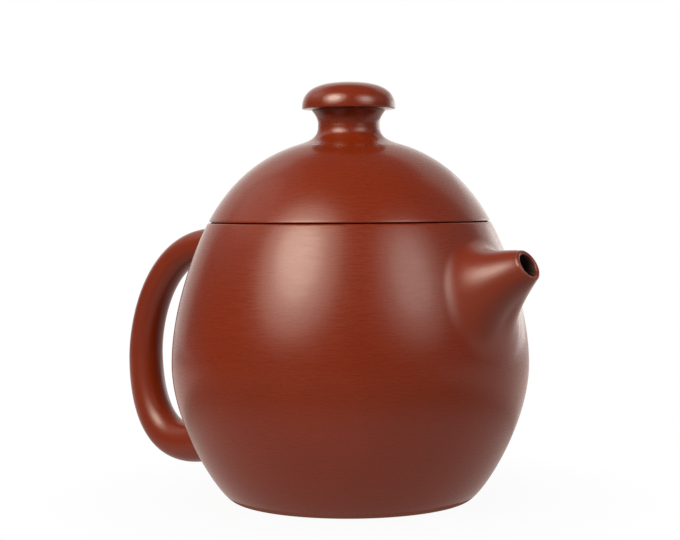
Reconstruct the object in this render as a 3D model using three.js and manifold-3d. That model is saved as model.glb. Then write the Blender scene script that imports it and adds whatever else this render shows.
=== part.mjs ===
// A small red clay teapot: an egg-shaped body whose top is cut off level and carries on as the lid.
// Millimetres, +Z up. The origin is on the pot's axis, in the plane that the foot stands in.
// +X points towards the spout and -X towards the handle.

import * as THREE from 'three';
import Module from 'manifold-3d';
import { mergeVertices } from 'three/addons/utils/BufferGeometryUtils.js';

const wasm = await Module();
wasm.setup();

// Clearances and joints
const slipJoint = 0.3; // between two clay members that are luted together
const seamGap = 0.4; // between the rim of the pot and the edge of the lid
const lidClearance = 0.35; // between the lid's flange and the mouth, all round
const edgeRound = 0.35; // softened edges of the rim and the lid

// Body of the pot: its outline runs from the foot, round the belly, to the level cut
const footRadius = 28.4; // outer edge of the ring that it stands on
const footSweep = 2.95; // how far the outline leaves the foot along the ground
const bellyRadius = 42.95;
const bellyHeight = 32.5;
const lowerFullness = 14.6; // pull of the outline below and above the belly
const upperFullness = 12.5;
const seamRadius = 33.9;
const seamHeight = 66.5;
const seamLean = 0.537; // run inwards for each unit of rise where the lid begins
const shoulderReach = 7;
const bodyWall = 3;

// Floor
const standingWidth = 2.4; // width of the ring that touches the ground
const floorRecess = 0.6; // the floor is pressed in by this much
const floorThickness = 3.4;
const floorCove = 4; // height of the rounded corner inside

// Mouth
const seatWidth = 5; // from the edge of the seam to the hole
const mouthRingDepth = 7.2;
const mouthRingTaper = 2.4;

// Lid: the dome goes on from the seam to where the knob stands
const domeRise = 20.25; // from the seam to the crown that the outline aims at
const domeReach = 11.75;
const domeCrown = 17.05;
const lidWall = 3.2;
const seatPlate = 3; // thickness of the lid where it lies on the mouth
const flangeWall = 2.5;
const flangeDepth = 8;
const flangeBevel = 0.7;
const ventRadius = 1.25; // air hole down through knob and dome

// Knob: a waisted neck under a rounded cap
const neckFootRadius = 14.2;
const neckFootPull = 3.05;
const waistRadius = 7.42;
const waistRise = 4.6; // above the foot of the neck
const waistPullBelow = 2.75;
const waistPullAbove = 0.4;
const neckRimRadius = 8.85;
const neckRise = 8.45; // height of the neck
const neckRimPull = 1.8;
const neckRimLean = 1.17; // rise for each unit outwards at the top of the neck
const capRadius = 11.22;
const capRise = 6.5;
const capSidePull = 6.3;
const capCrown = 4;
const capEdge = 0.4;
const ventLip = 0.5;

// Spout: a short cone that flares onto the body
const spoutDrop = 15.25; // from the seam down to where its axis leaves the body
const spoutLength = 11.65;
const spoutTilt = THREE.MathUtils.degToRad(29.3);
const spoutFlare = THREE.MathUtils.degToRad(27.4); // opening of the cone behind the lip
const spoutRimRadius = 3.86;
const spoutBoreRadius = 2.75;
const spoutLip = 0.4; // how far the rounded lip stands out
const spoutRootDrop = 2.7; // centre of the root below the axis
const spoutRootBore = 6.3;
const rootEdge = 0.4; // thickness of the thin edge of a root

// On each side of the spout: reach of its root on the body, how far the cone stays straight, and
// how far the root follows the body before it rises
const spoutUpper = { reach: 15.7, cone: 5.2, root: 5.9 };
const spoutFlank = { reach: 14, cone: 8.3, root: 8.9 };
const spoutLower = { reach: 14.4, cone: 7.1, root: 9.8 };

// Strainer: a pierced dome in the hole behind the spout
const strainerHoleRadius = 7; // the hole in the wall
const strainerWall = 1.3;
const strainerBulge = 5.4;
const strainerCollar = 1.5;
const strainerSink = 0.3; // from the deepest edge of the hole to the outer end of the collar
const pierceRadius = 0.85;
const pierceOverrun = 3;
const pierceRings = [1, 6, 12]; // holes in each ring, from the middle
const pierceStep = THREE.MathUtils.degToRad(25);

// Handle: an ear with a round section that thickens downwards
const handleTopDrop = 6.5; // from the seam down to the upper root
const handleTopPull = 25.2;
const handleTopTilt = THREE.MathUtils.degToRad(11.7);
const handleSpan = 26.75; // from the belly out to the middle of the section
const handleBowHeight = 30.5;
const handleShoulder = 11.6;
const handleHeel = 13.3;
const handleTailHeight = 13.1;
const handleTailPull = 29.4;
const handleTailTilt = THREE.MathUtils.degToRad(26.3);
const handleTopRadius = 4;
const handleBowRadius = 4.22;
const handleTailRadius = 5.42;
const handleRootFlare = 1.7;
const handleRootReach = 7;
const handleRootPull = 3;

// Fineness of the faceted surfaces
const roundSides = 48;
const knobSides = 36;
const strainerSides = 24;
const pierceSides = 8;
const spoutSides = 32;
const handleSides = 16;

// Heights and radii that follow from the sizes above
const rimHeight = seamHeight - seamGap / 2;
const lidBase = seamHeight + seamGap / 2;
const floorTop = floorRecess + floorThickness;
const discJointRadius = footRadius - standingWidth;
const mouthRadius = seamRadius - seatWidth;
const flangeRadius = mouthRadius - lidClearance;
const flangeInnerRadius = flangeRadius - flangeWall;

const flat = (radius, height) => new THREE.Vector2(radius, height);

const lowerCurve = new THREE.CubicBezierCurve(
  flat(footRadius, 0),
  flat(footRadius + footSweep, 0),
  flat(bellyRadius, bellyHeight - lowerFullness),
  flat(bellyRadius, bellyHeight),
);

const upperCurve = new THREE.CubicBezierCurve(
  flat(bellyRadius, bellyHeight),
  flat(bellyRadius, bellyHeight + upperFullness),
  flat(seamRadius + seamLean * shoulderReach, seamHeight - shoulderReach),
  flat(seamRadius, seamHeight),
);

const domeCurve = new THREE.CubicBezierCurve(
  flat(seamRadius, seamHeight),
  flat(seamRadius - seamLean * domeReach, seamHeight + domeReach),
  flat(domeCrown, seamHeight + domeRise),
  flat(0, seamHeight + domeRise),
);

// Place between two ends where a test turns from true to false
function turningPlace(start, end, isBefore) {
  let near = start;
  let far = end;
  for (let step = 0; step < 40; step += 1) {
    const middle = (near + far) / 2;
    if (isBefore(middle)) near = middle;
    else far = middle;
  }
  return (near + far) / 2;
}

// Where a rising curve passes a given height or, for the dome, a given radius
const atHeight = (curve, height) => turningPlace(0, 1, (t) => curve.getPoint(t).y < height);
const atRadius = (curve, radius) => turningPlace(0, 1, (t) => curve.getPoint(t).x > radius);

// A point of a curve moved square to it, towards the inside of the pot
function insetPoint(curve, t, depth) {
  const tangent = curve.getTangent(t);
  return curve.getPoint(t).sub(flat(tangent.y, -tangent.x).multiplyScalar(depth));
}

function stretch(curve, from, to, steps, depth = 0) {
  const points = [];
  for (let step = 0; step <= steps; step += 1) {
    points.push(insetPoint(curve, from + ((to - from) * step) / steps, depth));
  }
  return points;
}

// Where a curve, once it is inset, reaches a height
function insetAtHeight(curve, height, depth) {
  return turningPlace(0, 1, (t) => insetPoint(curve, t, depth).y < height);
}

// A ring-shaped solid: the profile runs up the outside, down the inside and closes on itself
function revolve(profile, sides) {
  const geometry = new THREE.LatheGeometry([...profile, profile[0].clone()], sides);
  return geometry.rotateX(Math.PI / 2);
}

// Rounded corner between two straight runs
function rounded(start, corner, end, steps = 2) {
  return new THREE.QuadraticBezierCurve(start, corner, end).getPoints(steps);
}

// Skin of the pot at a height: its radius and the direction square to it
function skinAt(height) {
  const curve = height < bellyHeight ? lowerCurve : upperCurve;
  const t = atHeight(curve, height);
  const tangent = curve.getTangent(t);
  return { radius: curve.getPoint(t).x, normal: flat(tangent.y, -tangent.x) };
}

// Point on the skin, or at a distance outside it
function onSkin(azimuth, height, outside) {
  const { radius, normal } = skinAt(height);
  const reach = radius + normal.x * outside;
  return new THREE.Vector3(
    reach * Math.cos(azimuth),
    reach * Math.sin(azimuth),
    height + normal.y * outside,
  );
}

// Rings of points joined into one closed surface. The last ring joins the first one, or each end
// is closed by a fan to its own centre.
function joinRings(rings, caps = null) {
  const sides = rings[0].length;
  const points = rings.flat();
  const faces = [];
  const count = caps ? rings.length - 1 : rings.length;
  for (let ring = 0; ring < count; ring += 1) {
    const next = (ring + 1) % rings.length;
    for (let side = 0; side < sides; side += 1) {
      const turn = (side + 1) % sides;
      const corners = [ring * sides + side, ring * sides + turn, next * sides + turn, next * sides + side];
      faces.push(corners[0], corners[1], corners[2], corners[0], corners[2], corners[3]);
    }
  }
  if (caps) {
    const first = points.push(caps[0]) - 1;
    const last = points.push(caps[1]) - 1;
    const lastRing = (rings.length - 1) * sides;
    for (let side = 0; side < sides; side += 1) {
      const turn = (side + 1) % sides;
      faces.push(first, turn, side, last, lastRing + side, lastRing + turn);
    }
  }
  const geometry = new THREE.BufferGeometry().setFromPoints(points);
  geometry.setIndex(faces);
  geometry.computeVertexNormals();
  return geometry;
}

function solidOf(geometry) {
  const bare = geometry.clone();
  bare.deleteAttribute('normal');
  bare.deleteAttribute('uv');
  const merged = mergeVertices(bare);
  return new wasm.Manifold(new wasm.Mesh({
    numProp: 3,
    vertProperties: new Float32Array(merged.attributes.position.array),
    triVerts: new Uint32Array(merged.index.array),
  }));
}

function geometryOf(solid) {
  const { vertProperties, triVerts } = solid.getMesh();
  const geometry = new THREE.BufferGeometry();
  geometry.setAttribute('position', new THREE.BufferAttribute(vertProperties, 3));
  geometry.setIndex(new THREE.BufferAttribute(triVerts, 1));
  geometry.computeVertexNormals();
  return geometry;
}

// The spout's axis leaves the skin at its root and ends at the middle of the mouth
const spoutAxis = new THREE.Vector3(Math.cos(spoutTilt), 0, Math.sin(spoutTilt));
const spoutUp = new THREE.Vector3(-Math.sin(spoutTilt), 0, Math.cos(spoutTilt));
const acrossPot = new THREE.Vector3(0, 1, 0);
const spoutFoot = onSkin(0, seamHeight - spoutDrop, 0);
const spoutMouth = spoutFoot.clone().addScaledVector(spoutAxis, spoutLength);

// Direction square to the axis, at a turn about it that starts upwards
function spoutSide(turn) {
  const direction = spoutUp.clone().multiplyScalar(Math.cos(turn));
  return direction.addScaledVector(acrossPot, Math.sin(turn));
}

// Point where a line beside the axis comes out of the skin, or of a surface outside it
function outletPoint(direction, radius, outside) {
  const side = spoutFoot.clone().addScaledVector(direction, radius);
  const pointAt = (along) => side.clone().addScaledVector(spoutAxis, along);
  const isWithin = (along) => {
    const point = pointAt(along);
    const skin = skinAt(point.z - outside * skinAt(point.z).normal.y);
    return Math.hypot(point.x, point.y) < skin.radius + outside * skin.normal.x;
  };
  return pointAt(turningPlace(-spoutLength, spoutLength, isWithin));
}

function bodyWallGeometry() {
  const coveT = insetAtHeight(lowerCurve, floorTop + floorCove, bodyWall);
  const cove = insetPoint(lowerCurve, coveT, bodyWall);
  const run = lowerCurve.getTangent(coveT);
  const coveCorner = flat(cove.x - (floorCove * run.x) / run.y, floorTop);
  const rimEdgeT = atHeight(upperCurve, rimHeight - edgeRound);
  const rimEdge = upperCurve.getPoint(rimEdgeT);
  const rimOuter = upperCurve.getPoint(atHeight(upperCurve, rimHeight)).x;
  const rimInnerT = insetAtHeight(upperCurve, rimHeight, bodyWall);
  const profile = [
    ...stretch(lowerCurve, 0, 1, 9),
    ...stretch(upperCurve, 0, rimEdgeT, 8).slice(1, -1),
    ...rounded(rimEdge, flat(rimOuter, rimHeight), flat(rimOuter - edgeRound, rimHeight)),
    ...stretch(upperCurve, rimInnerT, 0, 6, bodyWall),
    ...stretch(lowerCurve, 1, coveT, 4, bodyWall).slice(1, -1),
    ...rounded(cove, coveCorner, flat(discJointRadius, floorTop), 3),
    flat(discJointRadius, 0),
  ];
  const shell = solidOf(revolve(profile, roundSides));
  const drill = new THREE.CylinderGeometry(
    strainerHoleRadius,
    strainerHoleRadius,
    strainerBulge + spoutLength,
    strainerSides,
  );
  drill.applyQuaternion(new THREE.Quaternion().setFromUnitVectors(acrossPot, spoutAxis));
  drill.translate(spoutFoot.x, spoutFoot.y, spoutFoot.z);
  return geometryOf(shell.subtract(solidOf(drill)));
}

function baseDiscGeometry() {
  const radius = discJointRadius - slipJoint;
  const profile = [
    flat(0, floorRecess),
    flat(radius - edgeRound, floorRecess),
    flat(radius, floorRecess + edgeRound),
    flat(radius, floorTop),
    flat(0, floorTop),
  ];
  return new THREE.LatheGeometry(profile, roundSides).rotateX(Math.PI / 2);
}

function mouthRingGeometry() {
  const depth = bodyWall + slipJoint;
  const low = insetAtHeight(upperCurve, rimHeight - mouthRingDepth, depth);
  const high = insetAtHeight(upperCurve, rimHeight, depth);
  const profile = [
    ...stretch(upperCurve, low, high, 3, depth),
    ...rounded(
      flat(mouthRadius + edgeRound, rimHeight),
      flat(mouthRadius, rimHeight),
      flat(mouthRadius, rimHeight - edgeRound),
    ),
    flat(mouthRadius, rimHeight - mouthRingDepth + mouthRingTaper),
  ];
  return revolve(profile, roundSides);
}

// Dome of the strainer, seen along its own axis: a quarter ellipse above a short collar
function strainerArc(radius, rise, steps, backwards) {
  const points = [];
  for (let step = 0; step <= steps; step += 1) {
    const share = backwards ? steps - step : step;
    const angle = (Math.PI / 2) * (share / steps);
    points.push(flat(radius * Math.cos(angle), strainerCollar + rise * Math.sin(angle)));
  }
  return points;
}

// Depth below the foot of the axis, along it, of the lowest edge of the hole in the skin
function deepestHoleEdge() {
  const depths = [];
  for (let side = 0; side < strainerSides; side += 1) {
    const edge = outletPoint(spoutSide((2 * Math.PI * side) / strainerSides), strainerHoleRadius, 0);
    depths.push(spoutFoot.clone().sub(edge).dot(spoutAxis));
  }
  return Math.max(...depths);
}

function strainerGeometry() {
  const outer = strainerHoleRadius - slipJoint;
  const inner = outer - strainerWall;
  const profile = [
    flat(outer, 0),
    ...strainerArc(outer, strainerBulge, 6, false),
    ...strainerArc(inner, strainerBulge - strainerWall, 6, true),
    flat(inner, 0),
  ];
  let dome = solidOf(revolve(profile, strainerSides));
  const centre = new THREE.Vector3(0, 0, strainerCollar);
  pierceRings.forEach((count, ring) => {
    for (let hole = 0; hole < count; hole += 1) {
      const around = (2 * Math.PI * (hole + ring / 2)) / count;
      const tilt = pierceStep * ring;
      const direction = new THREE.Vector3(
        Math.sin(tilt) * Math.cos(around),
        Math.sin(tilt) * Math.sin(around),
        Math.cos(tilt),
      );
      const length = outer + pierceOverrun;
      const pin = new THREE.CylinderGeometry(pierceRadius, pierceRadius, length, pierceSides);
      pin.translate(0, length / 2, 0);
      pin.applyQuaternion(new THREE.Quaternion().setFromUnitVectors(acrossPot, direction));
      pin.translate(centre.x, centre.y, centre.z);
      dome = dome.subtract(solidOf(pin));
    }
  });
  const geometry = geometryOf(dome);
  const inwards = spoutAxis.clone().negate();
  geometry.applyQuaternion(
    new THREE.Quaternion().setFromUnitVectors(new THREE.Vector3(0, 0, 1), inwards),
  );
  const seat = spoutFoot.clone().addScaledVector(inwards, deepestHoleEdge() + strainerSink);
  return geometry.translate(seat.x, seat.y, seat.z);
}

// A strip from a ring round a limb down to the skin, which it meets without a corner
function filletPoints(start, startRun, startPull, end, endRun, endPull, steps) {
  const curve = new THREE.CubicBezierCurve3(
    start,
    start.clone().addScaledVector(startRun, startPull),
    end.clone().addScaledVector(endRun, -endPull),
    end,
  );
  return curve.getPoints(steps);
}

// Direction along the skin, away from a root's centre, at a point given by its offsets from it
function alongSkin(azimuth, height, arc, rise) {
  const further = 1.02;
  const here = onSkin(azimuth + arc, height + rise, 0);
  return onSkin(azimuth + arc * further, height + rise * further, 0).sub(here).normalize();
}

// A size of the spout at a turn about its axis, from its values above, beside and below
function roundSpout(size, turn) {
  const middle = Math.cos(turn) > 0 ? spoutUpper[size] : spoutLower[size];
  return spoutFlank[size] * Math.sin(turn) ** 2 + middle * Math.cos(turn) ** 2;
}

function spoutGeometry() {
  const coneSteps = 9;
  const boreSteps = 4;
  const lipSteps = 4;
  const rings = [];
  const push = (index, point) => {
    rings[index] = rings[index] ?? [];
    rings[index].push(point);
  };
  const rootHeight = seamHeight - spoutDrop - spoutRootDrop;
  const rootRadius = skinAt(rootHeight).radius;
  const lipMiddle = (spoutRimRadius + spoutBoreRadius) / 2;
  const lipHalf = (spoutRimRadius - spoutBoreRadius) / 2;
  for (let side = 0; side < spoutSides; side += 1) {
    const turn = (2 * Math.PI * side) / spoutSides;
    const direction = spoutSide(turn);
    const rise = (Math.cos(turn) > 0 ? spoutUpper : spoutLower).reach * Math.cos(turn);
    const arc = (spoutFlank.reach * Math.sin(turn)) / rootRadius;
    const rim = spoutMouth.clone().addScaledVector(direction, spoutRimRadius);
    const rimRun = spoutAxis.clone().multiplyScalar(-Math.cos(spoutFlare));
    rimRun.addScaledVector(direction, Math.sin(spoutFlare));
    const cone = filletPoints(
      rim,
      rimRun,
      roundSpout('cone', turn),
      onSkin(arc, rootHeight + rise, slipJoint + rootEdge),
      alongSkin(0, rootHeight, arc, rise),
      roundSpout('root', turn),
      coneSteps,
    );
    cone.reverse().forEach((point, step) => push(step, point));
    for (let step = 1; step <= lipSteps; step += 1) {
      const angle = (Math.PI * step) / lipSteps;
      const point = spoutMouth.clone().addScaledVector(spoutAxis, spoutLip * Math.sin(angle));
      point.addScaledVector(direction, lipMiddle + lipHalf * Math.cos(angle));
      push(coneSteps + step, point);
    }
    const boreStart = spoutMouth.clone().addScaledVector(direction, spoutBoreRadius);
    const boreEnd = outletPoint(direction, spoutRootBore, slipJoint);
    for (let step = 1; step <= boreSteps; step += 1) {
      push(coneSteps + lipSteps + step, boreStart.clone().lerp(boreEnd, step / boreSteps));
    }
    const rootRing = coneSteps + lipSteps + boreSteps;
    const boreRise = boreEnd.z - rootHeight;
    const boreArc = Math.atan2(boreEnd.y, boreEnd.x);
    const halfway = onSkin((arc + boreArc) / 2, rootHeight + (rise + boreRise) / 2, slipJoint);
    push(rootRing + 1, halfway);
    push(rootRing + 2, onSkin(arc, rootHeight + rise, slipJoint));
  }
  return joinRings(rings.reverse());
}

// Centre line of the handle, in two curves that meet at the point furthest out
const handleReach = bellyRadius + handleSpan;
const handleTopHeight = seamHeight - handleTopDrop;

function handleCurves() {
  const behind = (radius, height) => new THREE.Vector3(-radius, 0, height);
  const topRadius = skinAt(handleTopHeight).radius;
  const tailRadius = skinAt(handleTailHeight).radius;
  const upper = new THREE.CubicBezierCurve3(
    behind(topRadius, handleTopHeight),
    behind(
      topRadius + handleTopPull * Math.cos(handleTopTilt),
      handleTopHeight + handleTopPull * Math.sin(handleTopTilt),
    ),
    behind(handleReach, handleBowHeight + handleShoulder),
    behind(handleReach, handleBowHeight),
  );
  const lower = new THREE.CubicBezierCurve3(
    behind(handleReach, handleBowHeight),
    behind(handleReach, handleBowHeight - handleHeel),
    behind(
      tailRadius + handleTailPull * Math.cos(handleTailTilt),
      handleTailHeight - handleTailPull * Math.sin(handleTailTilt),
    ),
    behind(tailRadius, handleTailHeight),
  );
  return [upper, lower];
}

// Radius of the handle along its length, from 0 at the upper root to 1 at the lower one
function handleRadius(along) {
  const rest = 1 - along;
  return handleTopRadius * rest ** 2 + handleBowRadius * 2 * rest * along + handleTailRadius * along ** 2;
}

function handleRing(curve, t, radius) {
  const centre = curve.getPoint(t);
  const tangent = curve.getTangent(t);
  const outwards = new THREE.Vector3(tangent.z, 0, -tangent.x);
  const ring = [];
  for (let side = 0; side < handleSides; side += 1) {
    const turn = (2 * Math.PI * side) / handleSides;
    const point = centre.clone().addScaledVector(outwards, radius * Math.cos(turn));
    ring.push(point.addScaledVector(acrossPot, radius * Math.sin(turn)));
  }
  return ring;
}

// Rings of a root, from the limb to the skin. The lower root has its outer side underneath.
function handleRoot(ring, run, height, radius, side) {
  const steps = 4;
  const rings = [];
  const skinRadius = skinAt(height).radius;
  ring.forEach((start, index) => {
    const turn = (2 * Math.PI * index) / ring.length;
    const rise = side * radius * Math.cos(turn);
    const arc = (-radius * Math.sin(turn)) / skinRadius;
    const end = onSkin(Math.PI + arc, height + rise, slipJoint + rootEdge);
    const endRun = alongSkin(Math.PI, height, arc, rise);
    const strip = filletPoints(start, run, handleRootPull, end, endRun, handleRootPull, steps);
    strip.push(onSkin(Math.PI + arc, height + rise, slipJoint));
    strip.slice(1).forEach((point, step) => {
      rings[step] = rings[step] ?? [];
      rings[step].push(point);
    });
  });
  return rings;
}

function handleGeometry() {
  const [upper, lower] = handleCurves();
  const limbSteps = 12;
  const topT = upper.getUtoTmapping(0, handleRootReach);
  const tailT = lower.getUtoTmapping(0, lower.getLength() - handleRootReach);
  const limb = [];
  for (let step = 0; step <= limbSteps; step += 1) {
    const t = topT + ((1 - topT) * step) / limbSteps;
    limb.push(handleRing(upper, t, handleRadius(t / 2)));
  }
  for (let step = 1; step <= limbSteps; step += 1) {
    const t = (tailT * step) / limbSteps;
    limb.push(handleRing(lower, t, handleRadius((1 + t) / 2)));
  }
  const topRadius = handleTopRadius + handleRootFlare;
  const tailRadius = handleTailRadius + handleRootFlare;
  const topRun = upper.getTangent(topT).negate();
  const top = handleRoot(limb[0], topRun, handleTopHeight, topRadius, 1);
  const tail = handleRoot(limb[limb.length - 1], lower.getTangent(tailT), handleTailHeight, tailRadius, -1);
  const caps = [
    onSkin(Math.PI, handleTopHeight, slipJoint),
    onSkin(Math.PI, handleTailHeight, slipJoint),
  ];
  return joinRings([...top.reverse(), ...limb, ...tail], caps);
}

// The knob stands on a level seat that is cut into the crown of the dome
const knobSeatT = atRadius(domeCurve, neckFootRadius);
const knobSeat = domeCurve.getPoint(knobSeatT).y;
const neckBase = knobSeat + slipJoint;
const neckTop = neckBase + neckRise;
const capBase = neckTop + slipJoint;

function lidDomeGeometry() {
  const ceiling = knobSeat - lidWall;
  const edgeT = atHeight(domeCurve, lidBase + edgeRound);
  const edge = domeCurve.getPoint(edgeT);
  const edgeRadius = domeCurve.getPoint(atHeight(domeCurve, lidBase)).x;
  const ceilingT = insetAtHeight(domeCurve, ceiling, lidWall);
  const plateT = insetAtHeight(domeCurve, lidBase + seatPlate, lidWall);
  const profile = [
    flat(flangeInnerRadius, lidBase),
    ...rounded(flat(edgeRadius - edgeRound, lidBase), flat(edgeRadius, lidBase), edge),
    ...stretch(domeCurve, edgeT, knobSeatT, 9).slice(1),
    flat(ventRadius, knobSeat),
    flat(ventRadius, ceiling),
    ...stretch(domeCurve, ceilingT, plateT, 6, lidWall),
    flat(flangeInnerRadius, lidBase + seatPlate),
  ];
  return revolve(profile, roundSides);
}

function lidFlangeGeometry() {
  const top = lidBase - slipJoint;
  const bottom = top - flangeDepth;
  const profile = [
    flat(flangeInnerRadius, bottom),
    flat(flangeRadius - flangeBevel, bottom),
    flat(flangeRadius, bottom + flangeBevel),
    flat(flangeRadius, top),
    flat(flangeInnerRadius, top),
  ];
  return revolve(profile, roundSides);
}

function knobNeckGeometry() {
  const slope = domeCurve.getTangent(knobSeatT);
  const waist = neckBase + waistRise;
  const foot = new THREE.CubicBezierCurve(
    flat(neckFootRadius, neckBase),
    flat(neckFootRadius - neckFootPull, neckBase - (neckFootPull * slope.y) / slope.x),
    flat(waistRadius, waist - waistPullBelow),
    flat(waistRadius, waist),
  );
  const flare = new THREE.CubicBezierCurve(
    flat(waistRadius, waist),
    flat(waistRadius, waist + waistPullAbove),
    flat(neckRimRadius - neckRimPull, neckTop - neckRimPull * neckRimLean),
    flat(neckRimRadius, neckTop),
  );
  const profile = [
    flat(ventRadius, neckBase),
    ...foot.getPoints(7),
    ...flare.getPoints(5).slice(1),
    flat(ventRadius, neckTop),
  ];
  return revolve(profile, knobSides);
}

function knobCapGeometry() {
  const side = new THREE.CubicBezierCurve(
    flat(capRadius, capBase + capEdge),
    flat(capRadius, capBase + capSidePull),
    flat(capCrown, capBase + capRise),
    flat(0, capBase + capRise),
  );
  const lipT = atRadius(side, ventRadius + ventLip);
  const lip = side.getPoint(lipT);
  const profile = [
    flat(ventRadius, capBase),
    ...rounded(
      flat(capRadius - capEdge, capBase),
      flat(capRadius, capBase),
      flat(capRadius, capBase + capEdge),
    ),
    ...stretch(side, 0, lipT, 9).slice(1),
    flat(ventRadius, lip.y - ventLip),
  ];
  return revolve(profile, knobSides);
}

// Colours: the outside is burnished, the inside and the strainer are left as they were scraped
const burnishedClay = { color: 0x7d321e, roughness: 0.4, metalness: 0 };
const scrapedClay = { color: 0x8a4630, roughness: 0.7, metalness: 0 };

const members = [
  ['body_wall', bodyWallGeometry(), burnishedClay],
  ['base_disc', baseDiscGeometry(), scrapedClay],
  ['mouth_ring', mouthRingGeometry(), burnishedClay],
  ['strainer', strainerGeometry(), scrapedClay],
  ['spout', spoutGeometry(), burnishedClay],
  ['handle', handleGeometry(), burnishedClay],
  ['lid_dome', lidDomeGeometry(), burnishedClay],
  ['lid_flange', lidFlangeGeometry(), scrapedClay],
  ['knob_neck', knobNeckGeometry(), burnishedClay],
  ['knob_cap', knobCapGeometry(), burnishedClay],
];

const teapot = new THREE.Group();
for (const [name, geometry, finish] of members) {
  const mesh = new THREE.Mesh(geometry, new THREE.MeshStandardMaterial(finish));
  mesh.name = name;
  teapot.add(mesh);
}

export default teapot;
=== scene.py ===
import math

import bmesh
import bpy
import numpy as np
from mathutils import Matrix, Vector, noise


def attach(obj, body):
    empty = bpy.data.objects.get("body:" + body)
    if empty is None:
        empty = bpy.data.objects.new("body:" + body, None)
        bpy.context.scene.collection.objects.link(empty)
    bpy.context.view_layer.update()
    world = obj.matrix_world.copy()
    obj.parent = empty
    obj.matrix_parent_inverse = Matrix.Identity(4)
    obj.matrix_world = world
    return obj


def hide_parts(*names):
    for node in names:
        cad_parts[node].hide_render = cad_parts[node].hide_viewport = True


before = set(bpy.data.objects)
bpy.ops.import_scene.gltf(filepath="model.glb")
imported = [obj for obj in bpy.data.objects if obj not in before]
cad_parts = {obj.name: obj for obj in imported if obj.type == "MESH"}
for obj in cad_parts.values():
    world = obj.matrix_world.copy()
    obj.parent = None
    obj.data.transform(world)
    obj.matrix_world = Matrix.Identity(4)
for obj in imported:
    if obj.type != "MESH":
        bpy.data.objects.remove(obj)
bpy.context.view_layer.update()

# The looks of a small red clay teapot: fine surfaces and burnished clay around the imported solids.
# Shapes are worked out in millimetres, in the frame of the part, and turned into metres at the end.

MM = 0.001

# Fineness of the surfaces
ROUND_SIDES = 256
SPOUT_SIDES = 160
HANDLE_SIDES = 72
STRAINER_SIDES = 96
PIN_SIDES = 20
DRILL_SIDES = 64
CURVE_STEPS = 400
PROFILE_STEPS = 90
FOOT_STEPS = 6
EDGE_STEPS = 6
COVE_STEPS = 8
SPOUT_STEPS = 48
LIP_STEPS = 14
BORE_STEPS = 12
LIMB_STEPS = 60
ROOT_STEPS = 16
STRAINER_STEPS = 24
WAIST_STEPS = 40
FLARE_STEPS = 24
CAP_STEPS = 60
BACKDROP_COLUMNS = 48
INNER_STRIDE = 8
HALVINGS = 40
SAME_PLACE = 1e-4
ON_AXIS = 1e-6

# Body of the pot
foot_radius = 28.4
foot_sweep = 2.95
belly_radius = 42.95
belly_height = 32.5
lower_fullness = 14.6
upper_fullness = 12.5
seam_radius = 33.9
seam_height = 66.5
seam_lean = 0.537
shoulder_reach = 7
body_wall = 3
standing_width = 2.4
floor_recess = 0.6
floor_thickness = 3.4
floor_cove = 4
foot_round = 0.3
cove_share = 0.6
wall_step = 0.05
edge_support = 0.15

# The clay isn't perfectly true: every point is moved a little by one smooth field
unevenness = 0.05
unevenness_length = 16
unevenness_seed = 7
settle_height = 3

# Rounded edge of the floor disc
disc_middle = 1
disc_edge = 1
disc_edge_support = 0.2
disc_edge_run = 0.4
disc_edge_drop = 0.25
disc_overlap = 0.1

# Seam between rim and lid
seam_gap = 0.3
rim_round = 0.2
lid_round = 0.24
slot_depth = 0.6
seat_clearance = 0.02
seat_width = 5
mouth_ring_depth = 7.2
mouth_ring_taper = 2.4
mouth_round = 0.5
lid_clearance = 0.35
mouth_ring_overlap = 0.15
mouth_ring_start = 0.3
mouth_ring_edge = 0.1

# Lid
dome_rise = 20.25
dome_reach = 11.75
dome_crown = 17.05
lid_wall = 3.2
seat_plate = 3
flange_wall = 2.5
flange_depth = 8
flange_bevel = 0.7
vent_radius = 1.25
vent_lip = 0.5
vent_step = 0.6
vent_support = 0.2
knob_cover = 1
flange_edge = 0.3
flange_edge_support = 0.1

# Knob
neck_foot_radius = 14.2
neck_foot_pull = 3.05
waist_radius = 7.42
waist_rise = 4.6
waist_pull_below = 3.4
waist_pull_above = 0.4
neck_rim_radius = 8.85
neck_rise = 8.45
neck_rim_pull = 1.8
neck_rim_lean = 1.17
knob_joint = 0.3
cap_radius = 11.22
cap_rise = 6.5
cap_side_pull = 6.3
cap_crown = 4
cap_edge = 0.4
neck_skirt_reach = 1.2
neck_skirt_sink = 0.04
neck_skirt_depth = 0.4
joint_overlap = 0.05
cap_seat_inset = 0.5
cap_seat_margin = 0.3
cap_undercut = 0.5

# Spout
spout_drop = 15.25
spout_length = 11.7
spout_tilt = math.radians(28.8)
spout_rim_radius = 3.82
spout_bore_radius = 2.75
spout_lip = 0.4
spout_root_drop = 3.9
spout_root_bore = 6.3

# Given at even steps from the top of the spout round to its underside
spout_flare = np.radians([33.8, 39, 19.1])
spout_cone = (4.6, 6.1, 7.5)
spout_root = (4.6, 6.2, 9.9)
spout_reach = (15.6, 16.4, 14.7, 13.5, 12.1)

skirt_share = 1.14
skirt_depth = 0.1
underside_depth = 0.5
under_shares = (0.25, 0.5, 0.75, 1.0)

# Strainer
strainer_hole_radius = 7
strainer_slip = 0.05
strainer_wall = 1.3
strainer_bulge = 5.4
strainer_collar = 1.5
strainer_inset = 2
pierce_radius = 0.85
pierce_rings = (1, 6, 12)
pierce_step = math.radians(25)
pin_share = 0.75
crease = math.radians(40)

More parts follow.
